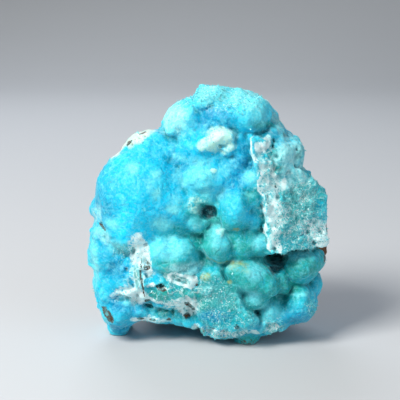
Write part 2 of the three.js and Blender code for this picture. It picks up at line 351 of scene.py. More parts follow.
add(tree, "ShaderNodeOutputMaterial", {"Surface": shader.outputs[0]})
matrix_mesh.materials.append(limonite)
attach(matrix_piece, "root")
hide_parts("limonite_matrix")


# ------------------------------------------------------------------------------------------------
# The blue crust: hemimorphite that grew on the rock as rounded lobes beside and upon each other,
# and later lost some of its skin, where white broken layers and specks of limonite show.

MASSES = [
    # the body of the crust: place, half sizes, fillet
    ((0, 2, 21.5), (26, 15.5, 19), 6),
    ((15, 0.5, 14), (10.5, 11, 10.5), 4),
    ((3, 3, 42), (19.5, 13, 20.5), 6),
    # the big dome on the left
    ((-17, -5, 38.4), (12.2, 12, 12.2), 3),
    ((-20, -6.4, 30.4), (8.6, 9.7, 7.5), 3),
    ((-9, -7, 36), (7.2, 9.5, 9), 3),
    ((-15.2, -2, 45.2), (7.9, 9, 6.7), 2),
    ((-14.4, -1, 49.2), (7.8, 8, 5), 2),
    # the top mass
    ((-5.2, 0, 55.6), (5.2, 8.5, 5.2), 1.5),
    ((1.2, -1, 58.7), (6.6, 9.5, 6.4), 1.5),
    ((-1, 2, 63.3), (2, 4, 2.2), 1),
    ((8, -2, 57.8), (6.9, 9.5, 6.8), 2),
    ((13.8, 0, 54.8), (4.5, 7.4, 5.9), 1.2),
    ((18.6, 1, 47.6), (5.2, 8, 6.2), 1.5),
    ((0, -5, 49.5), (9, 8, 8), 4),
    # what fills the creases of the middle and the lower right
    ((5.5, -5.5, 37), (12.5, 9.2, 13.5), 4),
    ((8.5, -5, 16), (7.5, 8.8, 9.5), 4),
]

SOFT_FILLET = 2.2
SOFT_LOBES = [
    # lobes that grew into each other: place, half sizes, lean
    # the lumps of the top mass and of its right shoulder
    ((8.9, -8.5, 58.2), (2.9, 3.6, 3.5)),
    ((3.6, -8, 58.3), (3.4, 3.6, 2.9)),
    ((-7.6, -4.4, 56.8), (3.8, 4.6, 4)),
    ((-4.2, -4.2, 58.4), (3.2, 4.6, 3.8)),
    ((12.6, -6.2, 59.9), (2.7, 5.4, 2.8)),
    ((15.4, -4.8, 53.7), (3.5, 4.8, 2.8)),
    ((17.8, -6.6, 49.4), (3.2, 6, 3.6)),
    ((20.8, -4.4, 48.6), (2.9, 5.6, 3.8)),
    # the middle
    ((-1.5, -10.5, 43), (4.5, 5.3, 3.7)),
    ((4, -9.2, 43.8), (3.3, 4.4, 2.9)),
    ((10.2, -10.6, 43), (2.6, 5, 2.6)),
    ((10.4, -10.3, 38.5), (2.7, 5, 4.3)),
    ((-4.5, -10.4, 36.6), (2.9, 5, 3.6)),
    ((-3, -10.8, 32.4), (2.6, 4.8, 2.3)),
    ((-1.3, -11, 38.8), (3.2, 3.6, 1.3)),
    # the flat double lobe under the dome
    ((-11.6, -12, 25.8), (3.8, 5, 3.2)),
    ((-6.8, -12, 25.6), (3.6, 5.2, 3.2)),
    ((-9.3, -11.5, 23), (6, 5.5, 3.6)),
    # the knob and the column at the left edge
    ((-28, -2, 33.6), (2.7, 5, 3.2)),
    ((-27.8, -3.4, 28), (2.3, 5, 2.7)),
    ((-26.2, -5, 23), (4.4, 7.5, 6)),
    ((-25.4, -4, 14.5), (4.4, 8, 7)),
    ((-21.5, -6, 18), (4.4, 7.5, 8.5)),
    # the broken ground beside it, the lobes below, and one on the lower right
    ((-17.2, -9, 20), (3.4, 6.4, 9)),
    ((-8.5, -9.5, 16.5), (8.6, 7.5, 7.4)),
    ((-22.8, -5.5, 8.4), (4.9, 7.5, 5)),
    ((-17.4, -5, 8.2), (3.8, 6.4, 3.2)),
    ((-12, -4.4, 7.8), (4.2, 6.6, 3)),
    ((-6.2, -5.2, 7.6), (4.2, 6.6, 3.2)),
    ((19.4, -7.4, 8.6), (3.4, 6.6, 3.8)),
    # what joins the bowl to the big lobe beside it, and fills the recesses by the slab
    ((6.4, -11.6, 17), (3, 4.6, 4.6), 30),
    ((10.4, -9.8, 32.6), (2.6, 5, 4)),
    ((7.2, -7, 49.2), (3.4, 5.4, 5.6)),
    # what it stands on in front
    ((-24, 0, 2.6), (3, 6, 4.2)),
    ((-1.5, -8.5, 5.6), (3.4, 5, 2.4)),
    ((3.6, -9, 4.2), (4, 5, 2.4)),
    ((9.7, -8.5, 1.8), (2.9, 4, 2.9)),
]
CRISP_FILLET = 1.2
CRISP_LOBES = [
    # lobes that stand clearer of each other, with creases between
    ((6.1, -12.2, 36), (3.7, 5.8, 6.1)),
    ((2.5, -12.4, 27), (3.9, 5.8, 4.8)),
    ((8.2, -11.3, 26.9), (4.5, 5.4, 4.3)),
    ((12.5, -11.4, 27.1), (2.6, 5, 3.5)),
    ((10.4, -12.6, 18.8), (7.2, 6.2, 4.2), 30),
    ((7.1, -12.3, 20.8), (3.2, 5.5, 2.3), 12),
    ((14.6, -13.2, 16.6), (2.5, 5.2, 2.8)),
    ((12, -11.8, 13.8), (3.1, 5.4, 3.4)),
    ((18.4, -7, 16.6), (2.8, 6.2, 3.6)),
    ((23.4, -4.6, 20.4), (5.6, 8.8, 4.2)),
    ((23.3, -5.4, 18.6), (3.4, 7.4, 3.4)),
    ((20.6, -4, 21.6), (3, 7, 2.8)),
    ((26.4, -2.6, 13.6), (2.4, 5.6, 2.9)),
    ((22.6, -6.5, 10), (4.5, 8.6, 4.8), -10),
    ((23.6, -6.2, 12.8), (2.8, 7.2, 2.8)),
    ((15.8, -9.4, 8.8), (3.6, 6.2, 4)),
    ((17.4, -8.8, 6.2), (3.3, 5.2, 2.6)),
    ((13.3, -9.6, 5), (2.4, 5.2, 2.2)),
    # the small knobs of the top
    ((-9.6, -5.6, 58.8), (2, 2.9, 1.9)),
    ((-6.4, -6.7, 59.3), (1.9, 2.5, 1.8)),
    ((-9.4, -6.2, 55.2), (1.9, 2.7, 1.7)),
    ((-5.8, -6.9, 55.4), (1.7, 2.4, 1.6)),
    ((-1.6, -7.7, 61.3), (2.1, 2.4, 1.8)),
    # the pale chip
    ((2.6, -11.4, 53.8), (3.2, 2.9, 2.1)),
    ((-0.7, -11.2, 51.9), (2.5, 2.8, 1.4), -8),
    ((4.5, -11.4, 51.2), (1.7, 2.5, 1.3)),
]

BOWL = (4.2, -10.4, 12.8), (11.6, 10.6, 8.6), 50
BOWL_FILLET = 0.7
BOWL_FACES = [
    # the druse bowl is broken flat in front, along a ridge on its right, and below
    ((3.5, -17.1, 14), (-0.14, -0.98, -0.04)),
    ((8.3, -16, 13.6), (0.8, -0.12, 0.57)),
    ((3, -15, 4), (0.05, -0.3, -1)),
]
SLAB_FILLET = 0.45
SLAB_BODY = [
    # flat broken faces of the slab: a point and the way it faces
    ((12, -18, 36), (0.45, -0.88, 0.15)),
    ((12.3, -17.1, 41.5), (-0.78, -0.62, -0.11)),
    ((9.7, -14, 51.3), (-0.987, 0, -0.155)),
    ((18, -14, 25.3), (0.05, -0.1, -1)),
    ((20, 3, 36), (0, 1, 0)),
]
SLAB_TOP_LEFT = SLAB_BODY + [
    ((12, -14, 54.4), (0.1, -0.1, 1)),
    ((16.4, -13, 50.6), (0.9, 0, 0.44)),
]
SLAB_RIGHT = SLAB_BODY + [
    ((19, -12, 47.3), (0.3, 0, 0.95)),
    ((26.2, -8, 42.9), (0.72, 0, 0.69)),
    ((29, -5, 34), (1, 0.3, -0.03)),
]

HOLE_FILLET = 0.25
HOLE_NIBBLE = 1.1               # mm between the bites in the edge of a hole, and their size
HOLE_RAGGED = 0.4
HOLES = [
    # the dark gap under the slab and the teal pit
    ((16.7, -10.5, 22.4), (3.1, 7, 1.6)),
    ((-0.3, -14.8, 35.8), (2.5, 2.6, 2.1)),
    # the small ones of the broken ground, and its crack
    ((-7.4, -17.2, 19.1), (1.6, 1.2, 0.8)),
    ((-12.2, -16.5, 17.7), (1.2, 1.6, 0.7)),
    ((-15.6, -15.5, 13.6), (1.2, 1.4, 0.6), -25),
    ((-4.4, -17, 12.9), (0.7, 1.8, 2), -42),
    ((-5, -15.5, 9.9), (1, 1.6, 0.6)),
    ((-16.6, -15.6, 19.2), (0.3, 1, 5.8)),
    # hollows in the slab's face
    ((16.1, -14.6, 49.8), (1.3, 1.3, 1.7)),
    ((17, -14.6, 46.3), (1.6, 1, 1.2)),
    ((16.2, -15.4, 42.2), (0.6, 0.9, 0.7)),
    ((15.7, -17, 32.6), (1.4, 1, 1.2)),
    ((21.9, -10.4, 49.4), (1.1, 1.2, 1.9)),
    # the chip's pit, and the split at the left knob
    ((3, -13.8, 51.5), (1, 1, 0.6)),
    ((-27.4, -11, 31.4), (1.6, 1.6, 0.45), 30),
]

# Where the skin differs: places and half sizes in mm on the display face, lean, and strength.
SMOOTH_SPOTS = [
    (20, 38, 11, 15), (-17.5, 20, 3, 8), (-9, 15, 9, 6), (-9, 25.5, 6, 3.5, 0, 0.7), (4, 13, 11, 9),
    (2, 53, 4.4, 3.4, 0, 0.7), (6.1, 36, 3.6, 5.6), (6, 26, 8, 5, 0, 0.8), (-16, 40, 15, 14, 0, 0.85),
    (-5, 48, 8, 7, 0, 0.6), (14, 18, 9, 8, 0, 0.7), (24, 13, 7, 11, 0, 0.55), (16, 6, 6, 6, 0, 0.6),
    (-25, 18, 5, 14, 0, 0.5), (6.5, 58, 11.5, 8, 0, 0.45), (3, 43, 8, 5, 0, 0.5),
]
POROUS_SPOTS = [
    (13.5, 50, 2.8, 4), (15.4, 38, 2.6, 7), (26.8, 29.8, 3, 3.4), (15.6, 28.6, 1.8, 3.4),
    (-17.6, 25.5, 2.4, 4.4), (-17.6, 52.4, 5.4, 1.6, -21), (-5.6, 12.6, 3, 3), (3, 4.8, 7, 2.4),
    (15.7, 5.6, 2.4, 1.4), (20.7, 53, 1.6, 6.5, -26), (-5, 18.6, 2.4, 1.6), (-15.3, 22.3, 1.4, 1.9),
    (-18.4, 13, 2.6, 2.2),
]
BROKEN_SPOTS = [
    (15, 40, 3.6, 15, -6), (24, 30, 5, 6), (21, 37, 7.5, 10.5, 0, 0.9), (-18, 20, 3.2, 9),
    (-9.5, 15, 9, 6.5), (2, 4, 7, 1.8), (-8.6, 57, 4.6, 4.4, 0, 0.4), (2, 62, 9, 3, 0, 0.3),
    (15.8, 5.5, 3, 2.4), (-22.5, 13.3, 3, 1.8),
]
SUGAR_SPOTS = [
    (2, 12.5, 5, 8, -15, 0.6), (3, 13, 3.4, 5.5, -25), (7.5, 8.5, 4, 5, 0, 0.5), (22.5, 33, 6.5, 9),
    (16, 6, 3, 3, 0, 0.7), (25.5, 10, 1.5, 3, -20, 0.7), (2, 62.5, 13, 3, 0, 0.45),
    (-22, 25.5, 3, 3, 0, 0.6), (-10, 15, 5, 4, 0, 0.35), (3, 4, 6, 2, 0, 0.6),
]

WARPS = [(5.5, 0.35), (2.3, 0.3)]     # mm between the bends that make each form uneven, and their size
MASS_MARGIN = 2                 # mm of the grid round a mass, a lobe and a hole that it may change
LOBE_MARGIN = 2.5
HOLE_MARGIN = 2
SKIN_SINK = 0.55                # mm that the forms shrink, to make room for their skin's relief
KNOBS = [(4.6, 0.55), (3, 0.5), (1.9, 0.4)]    # mm between the small knobs, and how far they stand out
KNOB_FILLET = 0.4
KNOB_DEPTH = 0.1, 0.55          # how deep its middle may lie, in parts of the spacing
KNOB_ROUGH = 0.1                # the least roughness of ground that bears knobs
KNOB_LEAST = 0.1                # how far the least of them stands out, in parts of the most
SKIN_BAND = 2.5                 # mm on each side of the skin where its relief is worked out
CRUST_WAVES = [(3.4, 0.3), (1.9, 0.4), (1.1, 0.4)]     # mm between its swells, and their height
SMOOTHING = 0.65                # how much of these waves the smooth spots lose
SMOOTH_EDGE = 0.6               # and over which part of a spot they do
BREAK_WAVES = [(2.2, 0.45), (1.1, 0.4)]        # mm between the cracks of broken ground, and their scale
BREAK_DEPTH = 0.9               # how far they lie under the skin, in parts of that scale
BREAK_HUMP = 1.6                # and how far the humps between them rise from there
PIT_SPACING = 1.45
PIT_RADIUS = 0.25, 0.75
PIT_REACH = 0.5                 # mm from the skin within which a pit's middle lies
PIT_GROUND = 0.5                # how porous the ground of a pit is at least
PIT_FILLET = 0.2
CAD_CLEARANCE = 2.0             # mm that the fine skin may stand proud of the solid's facets
FACE_BACK = 3                   # the spots end at this y, and fade out over so many mm before it
FACE_FADE = 2


def spotted(points, spots, edge=0.3):
    """How far points lie inside any of the spots: 0 outside them, 1 well within."""
    most = np.zeros(points.shape[:-1], np.float32)
    for x, z, half_x, half_z, *rest in spots:
        lean, strength = (rest + [0, 1][len(rest):])[:2]
        turn = math.radians(lean)
        across, up = points[..., 0] - x, points[..., 2] - z
        along = across * math.cos(turn) - up * math.sin(turn)
        over = across * math.sin(turn) + up * math.cos(turn)
        scaled = np.hypot(along / half_x, over / half_z)
        most = np.maximum(most, strength * np.clip((1 - scaled) / edge + 0.5, 0, 1))
    return most * np.clip((FACE_BACK - points[..., 1]) / FACE_FADE, 0, 1)


bends = [sum(size * waves(spacing, seed=30 + axis) for spacing, size in WARPS) for axis in range(3)]
bent_points = grid_points + np.stack(bends, axis=-1)


def bent(points):
    """Points moved by the same bends as the points of the grid."""
    return points + np.stack([sampled(bend, points) for bend in bends], axis=-1)


crust = np.full(GRID_COUNT, FAR, np.float32)
for at, size, fillet in MASSES:
    block = near(at, max(size) + fillet + MASS_MARGIN)
    crust[block] = joined(crust[block], from_lobe(bent_points[block], at, size), fillet)


def cut_flat(distance, faces, fillet):
    """A form with flat faces cut on it, each through a point and facing a way."""
    for at, normal in faces:
        facing = np.array(normal, np.float32) / math.hypot(*normal)
        distance = shared(distance, (bent_points - np.array(at, np.float32)) @ facing, fillet)
    return distance


everywhere = np.full(GRID_COUNT, -FAR, np.float32)
for faces in (SLAB_TOP_LEFT, SLAB_RIGHT):
    crust = joined(crust, cut_flat(everywhere, faces, SLAB_FILLET), SLAB_FILLET)
bowl = cut_flat(from_lobe(bent_points, *BOWL), BOWL_FACES, BOWL_FILLET)
crust = joined(crust, bowl, CRISP_FILLET) + SKIN_SINK
for lobes, fillet in ((SOFT_LOBES, SOFT_FILLET), (CRISP_LOBES, CRISP_FILLET)):
    for at, size, *lean in lobes:
        block = near(at, max(size) + LOBE_MARGIN)
        crust[block] = joined(crust[block], from_lobe(bent_points[block], at, size, *lean), fillet)

for number, (spacing, height) in enumerate(KNOBS):
    places, draws = strewn(spacing, seed=40 + number)
    depth = -sampled(crust, places)
    rough = 1 - spotted(bent(places), SMOOTH_SPOTS)
    least, most = (part * spacing for part in KNOB_DEPTH)
    wanted = (depth > least) & (depth < most) & (rough > KNOB_ROUGH)
    for place, draw, sunk in zip(places[wanted], (draws * rough)[wanted], depth[wanted]):
        radius = sunk + height * (KNOB_LEAST + (1 - KNOB_LEAST) * draw)
        block = near(place, radius + BALL_MARGIN)
        ball = np.linalg.norm(grid_points[block] - place.astype(np.float32), axis=-1) - radius
        crust[block] = joined(crust[block], ball, KNOB_FILLET)

skin = np.abs(crust) < SKIN_BAND
skin_spots = bent_points[skin]
roughness = 1 - SMOOTHING * spotted(skin_spots, SMOOTH_SPOTS, SMOOTH_EDGE)
for number, (spacing, height) in enumerate(CRUST_WAVES):
    crust[skin] -= height * roughness * np.abs(waves(spacing, seed=50 + number)[skin])
broken = spotted(skin_spots, BROKEN_SPOTS)
for number, (spacing, height) in enumerate(BREAK_WAVES):
    lost = BREAK_DEPTH - BREAK_HUMP * np.abs(waves(spacing, seed=60 + number)[skin])
    crust[skin] += height * broken * lost

places, draws = strewn(PIT_SPACING, seed=70)
wanted = (np.abs(sampled(crust, places)) < PIT_REACH) & (spotted(bent(places), POROUS_SPOTS) > PIT_GROUND)
for place, draw in zip(places[wanted], draws[wanted]):
    radius = PIT_RADIUS[0] + (PIT_RADIUS[1] - PIT_RADIUS[0]) * draw ** 2
    block = near(place, radius + BALL_MARGIN)
    ball = np.linalg.norm(grid_points[block] - place.astype(np.float32), axis=-1) - radius
    crust[block] = shared(crust[block], -ball, PIT_FILLET)
nibbles = [HOLE_RAGGED * waves(HOLE_NIBBLE, seed=75 + axis) for axis in range(3)]
ragged_points = bent_points + np.stack(nibbles, axis=-1)
for at, size, *lean in HOLES:
    block = near(at, max(size) + HOLE_MARGIN)
    crust[block] = shared(crust[block], -from_lobe(ragged_points[block], at, size, *lean), HOLE_FILLET)

crust = np.maximum(crust, solid_of("hemimorphite_crust") - CAD_CLEARANCE)
crust = np.maximum(crust, -grid_points[..., 2])
crust_mesh, crust_corners = skin_of(crust, "blue_crust")
crust_piece = bpy.data.objects.new("blue_crust", crust_mesh)
bpy.context.collection.objects.link(crust_piece)

SPOT_EDGE = 0.7                 # over which part of a spot it fades out, where no other is given
SPOT_EDGES = {"painted_light": 1.2, "blue": 1.2, "teal": 1.2, "sea": 1.2, "pale": 1.1, "sugar": 0.8, "broken": 0.6}
FRAYED = "mint", "milk", "cream", "grey", "white", "ochre"      # the spots with ragged edges
FRAYS = [(2.6, 0.6), (1.2, 0.45)]     # mm between the bends in a frayed edge, and their size
SEAT_CLEARANCE = 0.5            # mm over the ground where crystals begin, and half of it off the rock
CREVICE_REACH = 0.9             # mm round a place that tell whether it lies in a crevice or a hollow
HOLLOW_REACH = 3.0
# Where the stone is coloured otherwise: places and half sizes in mm, lean, and strength.
SPOTS = {
    # painted light: spots made brighter where the light falls weakly, as on the dome's lower half
    "painted_light": [
        (-18.5, 33, 9, 6.5, 0, 0.85), (-10.5, 33, 4.5, 5.5, 0, 0.6), (3.5, 52, 7, 3, 0, 0.6),
        (14.6, 58.6, 3.2, 3, 0, 0.9), (20.8, 45.8, 3, 3, 0, 0.5), (-24, 24, 3.5, 5, 0, 0.5),
    ],
    # blue: mostly its own deeper colour, and painted shade on the left foot and under the lower lip
    "blue": [
        (0.8, 58, 4, 3), (-27, 34, 3.4, 13, 0, 0.75), (14.4, 54.7, 3, 1.3, 0, 0.5),
        (8.2, 49.2, 2.2, 4.3, 0, 0.6), (7.5, 45.9, 3.4, 4.2), (-6.5, 46.8, 4, 3.6, 0, 0.6),
        (-23.4, 20.5, 3.5, 2.8), (-23.4, 11, 3.1, 2.1), (1.5, 9.3, 3.5, 1.5), (22.2, 7.9, 3.8, 2.3),
        (28.7, 27.8, 0.7, 1.9), (-11.1, 35.5, 2, 3, 0, 0.5), (4.4, 41.4, 3.4, 1, -35, 0.8), (-23, 3.6, 3, 3),
        (-19.4, 8.8, 3.4, 2.4, 0, 0.7),
    ],
    # teal: partly the greener colour of the lower right, partly painted shade in the slab's shadow and under
    # overhangs
    "teal": [
        (9.9, 18.3, 12.8, 10.6, 0, 0.75), (0, 13.6, 5.5, 6.7, 0, 0.8), (21.6, 38.2, 4.8, 8.6, 0, 0.85),
        (24, 20.6, 7, 5, 0, 0.8), (18.6, 17, 3.6, 4.4, 0, 0.8), (-0.8, 35.6, 4.4, 3.6, 0, 0.7),
        (-1.2, 30, 4.5, 1.5), (0.8, 33, 4, 2.6), (-0.5, 27.4, 3.4, 3, 0, 0.9),
        (-5.4, 27.6, 2.4, 2.6, 0, 0.6), (8.6, 28.8, 5.4, 3.6, 0, 0.8), (16.9, 46.2, 2, 1.3, -10),
        (16.5, 49.7, 1.5, 1.8), (21.9, 49.5, 1.2, 1.8), (-10.4, 21.3, 1.7, 1.2), (-7, 22, 3.5, 0.8),
        (-7.2, 19.2, 3.7, 2.8, 0, 0.9), (-5.6, 15.3, 3.2, 1.9, 0, 0.9), (27.6, 40, 2.4, 4, 0, 0.6),
        (20.8, 15.2, 4, 2.6), (20.8, 21, 4, 3, 0, 0.9), (-12.5, 15.2, 2.6, 2, 0, 1.2),
        (-9.5, 8.8, 6.5, 1.8, 0, 0.8), (-12.2, 15, 3.2, 2.2, 0, 0.95), (13.6, 56.8, 3.3, 0.9, 0, 0.8),
        (10.4, 60.6, 0.5, 3, -20, 0.5), (9.5, 1.3, 3.6, 2.1), (9.8, 40.2, 2, 3, 0, 0.7),
        (-9.9, 23.7, 6.4, 1.3, 0, 0.5), (-9, 31, 4, 2.2, 0, 0.6),
    ],
    "sea": [
        (3.6, 14.6, 7, 7, 0, 0.8), (10.4, 18.8, 6.5, 3.6, 30, 0.75), (9, 26.6, 5.5, 4, 0, 0.5),
        (7, 23, 8, 1.6, 0, 0.7), (-2.4, 36.6, 4.6, 4, 0, 0.6), (15, 40.5, 3.4, 13.5, -6, 0.95),
        (-9, 23.6, 6.4, 2.2, 0, 0.7), (21.5, 36.5, 6.5, 9, 0, 0.55), (-1, 28, 4, 3, 0, 0.6),
        (12, 12.4, 3.2, 3.6, 0, 0.7), (17, 49, 2, 2, 0, 0.5), (-11, 15.5, 6, 4, 0, 0.4),
        (4.5, 31.5, 4, 1.6, 0, 0.6),
    ],
    "pale": [
        (-8.5, 57.3, 3.7, 3.8, 0, 0.9), (-10.7, 58.1, 1.5, 2.1), (1.2, 63.6, 4, 2.3), (7.7, 63.4, 3.5, 2.3),
        (9, 59, 2, 2.3, 0, 0.4), (12.3, 62.9, 2.5, 2.1, 0, 0.9), (11.4, 60.2, 3, 3, 0, 0.65),
        (-1.5, 45.2, 3.2, 2, 0, 0.9), (9.7, 44.5, 2, 1.5, 0, 0.8), (-3.5, 32.8, 2.2, 1.8, 0, 0.4),
        (2.2, 30, 2.5, 2.8, 0, 0.6), (11.9, 28.5, 1.7, 1.8, 0, 0.7), (-10.6, 27.2, 4.6, 2.3, 0, 0.9),
        (-23, 26.6, 3, 2.1), (-29.7, 21.5, 1, 6.3), (-27.4, 29.7, 2, 1.3), (10.9, 21.3, 2.2, 1.5, 25, 0.9),
        (13.8, 8.6, 2.8, 2.8, 0, 0.6), (8.6, 14.2, 2.6, 3, 0, 0.45), (11, 14.4, 1.7, 1.8),
        (1, 17.3, 2.3, 2.1, 0, 0.3), (3, 13.6, 3, 3.1, 0, 0.4), (-2.2, 43, 3.6, 2.6, 0, 0.6),
        (15.2, 9.7, 2, 2.3, 0, 0.9), (25.9, 11.3, 0.4, 2.1, -25), (23, 13.8, 2.3, 0.4),
        (19.4, 49.7, 1.7, 2, 0, 0.9), (21.9, 46.3, 2.7, 0.6, 12), (20.5, 23.6, 5.1, 1.1, 0, 0.8),
        (-21.1, 11.8, 2, 1, 0, 0.6), (-15.2, 6.6, 4.6, 0.8, 0, 0.8), (-2.5, 48.5, 2, 1, 0, 0.7),
        (3.7, 46.4, 1.5, 1.3, 0, 0.6), (-14.7, 42.9, 1.2, 1.5, 0, 0.5), (-8.4, 39.2, 1.7, 1, 0, 0.5),
        (-19.3, 46.6, 1.3, 1.1), (-13.2, 44.6, 1, 1.1), (-7.9, 44.1, 1.2, 1.3, 0, 0.6),
        (-13.2, 40.4, 1.1, 1.3), (-8.9, 36.7, 1.5, 1.3), (-11.6, 32.9, 2.2, 1.8),
        (-7, 48.5, 1.8, 0.9, 10, 0.6), (-24.4, 32.5, 1.6, 1.2), (-5.5, 42.8, 1.5, 1.3, 0, 0.6),
        (0.8, 40.4, 3, 2.4, 0, 0.5),
    ],
    "mint": [
        (2.6, 53.8, 3.5, 2.4), (-0.7, 52, 2.8, 1.7), (4.5, 51.3, 2, 1.5, 0, 0.7), (0.7, 45.8, 1, 1, 0, 0.8),
        (-3.5, 37.5, 2, 2, 0, 0.5), (-1.2, 38.4, 1.8, 0.8, 0, 0.5), (2.7, 31.4, 1.5, 0.8, 0, 0.6),
        (-3.2, 31.9, 1.2, 1.3, 0, 0.3), (6.7, 22.5, 2.2, 1, 10, 0.35),
    ],
    "milk": [
        (14.4, 40.9, 2, 3.5, 0, 0.7), (-9.2, 57.6, 3.6, 3.6, 0, 0.55), (17.4, 56.4, 1.2, 5, -30, 0.6),
        (16.2, 35.9, 3.7, 2.5), (21.5, 38, 6, 10, 0, 0.34), (20, 49, 4.4, 4.6, 0, 0.7),
        (20.5, 44, 4.4, 3.6, 0, 0.75), (-28.6, 33.4, 1.6, 3, 0, 0.55), (-27.2, 28.8, 2.6, 1.8, 0, 0.55),
        (-6.6, 22, 4.4, 1.8, 0, 0.6), (-18.2, 20, 2.2, 5, 0, 0.6), (12.6, 48.6, 1.2, 3, -8),
        (-1.7, 15.9, 1.5, 2.3, 0, 0.5),
    ],
    "cream": [
        (-17.8, 53.2, 5, 1.9, -29), (-22.9, 50.1, 3.4, 0.9, -47),
    ],
    "grey": [
        (-18.2, 19.8, 1.2, 3.1), (-7.6, 19.3, 2.1, 1.1, 10), (-5.9, 10.5, 0.6, 0.7, 0, 0.6),
        (21.9, 49.5, 0.9, 1.4),
    ],
    "white": [
        (14.4, 41, 2.6, 12, -6, 0.53), (16.8, 34.5, 3, 2.6, 0, 0.66), (15.6, 29.5, 2.2, 3.8, -8, 0.48),
        (13.3, 52.6, 1.7, 1.6), (10.5, 51.5, 0.6, 3.3, -10, 0.75), (11.9, 43.8, 0.3, 5.5, -4),
        (13, 33.7, 0.3, 5, -8), (14.5, 27.5, 0.4, 2.3, -20), (13.6, 48.2, 2.2, 2, 0, 0.6),
        (17.6, 42.3, 1.1, 1.3), (15.7, 38.4, 2, 0.9, -10), (17.7, 36.5, 2.2, 1.3, 5), (14.2, 35.9, 1.2, 2),
        (16.2, 31.5, 1.7, 0.8), (14.5, 32.8, 0.5, 1.3), (16.3, 28.5, 1.1, 3, -12),
        (27.3, 29.3, 2.8, 3.6, 0, 1.3), (25.2, 31, 3.4, 3, 0, 0.6), (24.7, 32.9, 1.2, 1),
        (-17.6, 25.4, 2.8, 3.2), (-17.8, 28.8, 1.9, 2.5, 10, 0.8), (-19.9, 19.2, 0.4, 3.6, 0, 0.5),
        (-18.4, 18.5, 1.9, 5, 0, 0.5), (-18.7, 13.8, 3.1, 2.7, 0, 1.3), (-20.6, 14.8, 2.8, 2, -30, 0.6),
        (-22.9, 13.7, 2.4, 1.5, -10, 0.56), (-15.3, 22.3, 1.3, 2.1, 0, 0.9), (-16.1, 17, 0.4, 3.3, 0, 0.9),
        (-14, 17.5, 1, 0.8, 0, 0.8), (-5.1, 18.4, 1.8, 1.9, 0, 1.2), (-7.3, 19.2, 2.8, 1.9, 10, 1.3),
        (-5.4, 11, 2.6, 2.8, 0, 1.2), (-13.9, 12.9, 2, 1, 0, 0.7), (-10.6, 12.2, 1.8, 1, 0, 0.75),
        (-8.6, 12.6, 1.5, 1.2, 0, 0.65), (-14.4, 12.7, 1.5, 0.6, 20, 0.7), (-2, 4.8, 1.8, 1.7, 0, 0.8),
        (1.8, 4.3, 2.8, 1.5, 0, 0.7), (5.4, 3.8, 1.8, 1.3, 0, 0.8), (8.4, 4.3, 1.6, 1.2, 0, 0.7),
        (11.5, 4.5, 1.6, 1, 0, 0.8), (-14.8, 6.6, 5.8, 1.3, 3, 0.57), (-19, 6.6, 1.8, 1.4, 0, 0.65),
        (15.7, 6.3, 1.8, 1.1, 0, 0.8), (1.8, 54.4, 2, 1, 0, 0.6), (25.5, 44.8, 1.5, 0.3, 60),
    ],
    "ochre": [
        (4.5, 23.3, 5, 0.5, 3, 0.9), (6.8, 22.3, 4.2, 1.2, 12, 0.36), (6.4, 31.7, 1, 0.3),
        (-1.7, 19.8, 1.1, 1, 0, 0.9), (5.3, 18.5, 0.8, 0.5), (7.7, 22.8, 1.7, 0.6, 15, 0.7),
        (-1.5, 4.5, 0.8, 0.8),
    ],
    # dark: mostly painted shade, laid in the holes and pits and in the gap under the slab
    "dark": [
        (17.1, 20.5, 2.1, 1.3), (-0.3, 35.4, 2.2, 1.8, 0, 0.95), (-7.5, 19, 1, 0.5, 0, 0.4),
        (7, 5.9, 0.9, 0.5), (3, 51.5, 0.9, 0.4, 0, 0.6), (16.9, 46.2, 1.5, 0.8, 0, 0.5),
        (16.1, 42.2, 0.4, 0.5), (-5.3, 8.2, 1.1, 0.6),
    ],
    "rust": [
        (-27.5, 31, 1.3, 0.4, 32), (-25.7, 8.2, 2.1, 0.9, 56), (-16.7, 19, 0.3, 6.2, -2),
        (-15.3, 22.5, 1, 1.5, 0, 0.75), (-11.9, 17.2, 1.3, 0.8), (-15.7, 12.6, 1, 0.5, -25),
        (-4.6, 11.8, 1.9, 0.8, 45), (-5.3, 8.2, 0.9, 0.4, 0, 0.7), (-3.6, 17.6, 0.4, 0.4),
        (-17.8, 7, 1.1, 0.4), (-14.5, 6.7, 0.9, 0.4), (-10.6, 6.7, 0.5, 0.3), (-1.5, 4.1, 0.6, 0.5, 0, 0.8),
        (0.1, 2.7, 0.5, 0.3), (3.6, 2.6, 0.5, 0.3), (9.6, 0.9, 2.3, 1.3, 0, 0.55),
        (-20.5, 51.2, 1.2, 0.2, -40), (-17, 53.4, 1, 0.2, -25, 0.8), (30.2, 22, 1, 2.8),
        (29.9, 30.4, 0.5, 1.3),
    ],
}
corner_spots = bent(crust_corners)
frays = [sum(size * waves(spacing, seed=83 + axis) for spacing, size in FRAYS) for axis in range(3)]
frayed_spots = corner_spots + np.stack([sampled(fray, crust_corners) for fray in frays], axis=-1)
for name, spots in SPOTS.items():
    points = frayed_spots if name in FRAYED else corner_spots
    keep(crust_mesh, name, spotted(points, spots, SPOT_EDGES.get(name, SPOT_EDGE)))
keep(crust_mesh, "sugar", spotted(corner_spots, SUGAR_SPOTS, SPOT_EDGES["sugar"]))
keep(crust_mesh, "broken", spotted(corner_spots, BROKEN_SPOTS, SPOT_EDGES["broken"]))
clearance = np.minimum(2 * sampled(matrix, crust_corners), crust_corners[:, 2])
keep(crust_mesh, "seat", np.clip(clearance - SEAT_CLEARANCE, 0, 1))
stone = ((crust < 0) | (matrix < 0)).astype(np.float32)
keep(crust_mesh, "crevice", sampled(averaged(stone, CREVICE_REACH), crust_corners))
keep(crust_mesh, "hollow", sampled(averaged(stone, HOLLOW_REACH), crust_corners))
